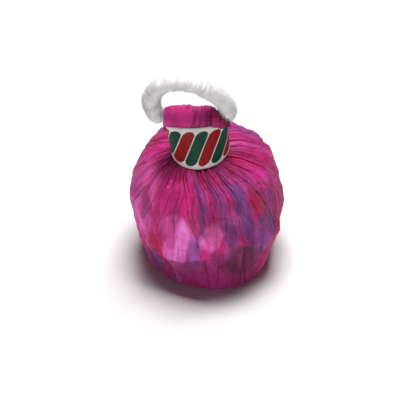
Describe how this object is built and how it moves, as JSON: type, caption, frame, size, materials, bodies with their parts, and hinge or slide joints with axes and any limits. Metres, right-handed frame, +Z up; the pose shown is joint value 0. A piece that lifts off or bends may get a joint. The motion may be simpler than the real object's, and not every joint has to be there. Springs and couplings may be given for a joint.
{
  "type": "hand-thrown paper streamer ball",
  "caption": "Ball of paper streamer coils in a gathered tissue wrapper, with a paper band round its neck and a chenille finger loop that swings in the folded tissue tail.",
  "frame": {"origin": "centre of the ball's flat underside, on the floor it stands on", "axes": "+Z up from the underside to the finger loop, +X along the loop's hinge line, -Y to the front of the band"},
  "size_m": [0.05, 0.05, 0.0843],
  "materials": {
    "dyed_tissue": "matte",
    "printed_band": "satin",
    "chenille_pile": "matte",
    "stem_wire": "satin",
    "thread": "matte",
    "tape_white": "matte",
    "tape_pink": "matte",
    "tape_yellow": "matte",
    "tape_blue": "matte",
    "tape_green": "matte"
  },
  "bodies": {
    "ball": {"tissue_wrapper": "dyed_tissue", "paper_band": "printed_band", "tie_thread": "thread", "streamer_01": "tape_white", "streamer_02": "tape_pink", "streamer_03": "tape_yellow", "streamer_04": "tape_blue", "streamer_05": "tape_green", "streamer_06": "tape_pink", "streamer_07": "tape_yellow", "streamer_08": "tape_blue", "streamer_09": "tape_green", "streamer_10": "tape_white", "streamer_11": "tape_yellow", "streamer_12": "tape_blue", "streamer_13": "tape_green", "streamer_14": "tape_white", "streamer_15": "tape_pink", "streamer_16": "tape_blue", "streamer_17": "tape_green", "streamer_18": "tape_white", "streamer_19": "tape_pink", "streamer_20": "tape_yellow"},
    "finger_loop": {"loop_pile": "chenille_pile", "loop_wire": "stem_wire"}
  },
  "joints": [
    {"name": "loop_swing", "type": "hinge", "parent": "ball", "child": "finger_loop", "pos_m": [-0.006, -0.002, 0.0629], "axis": [1, 0, 0], "range_deg": [-98, 82]}
  ]
}
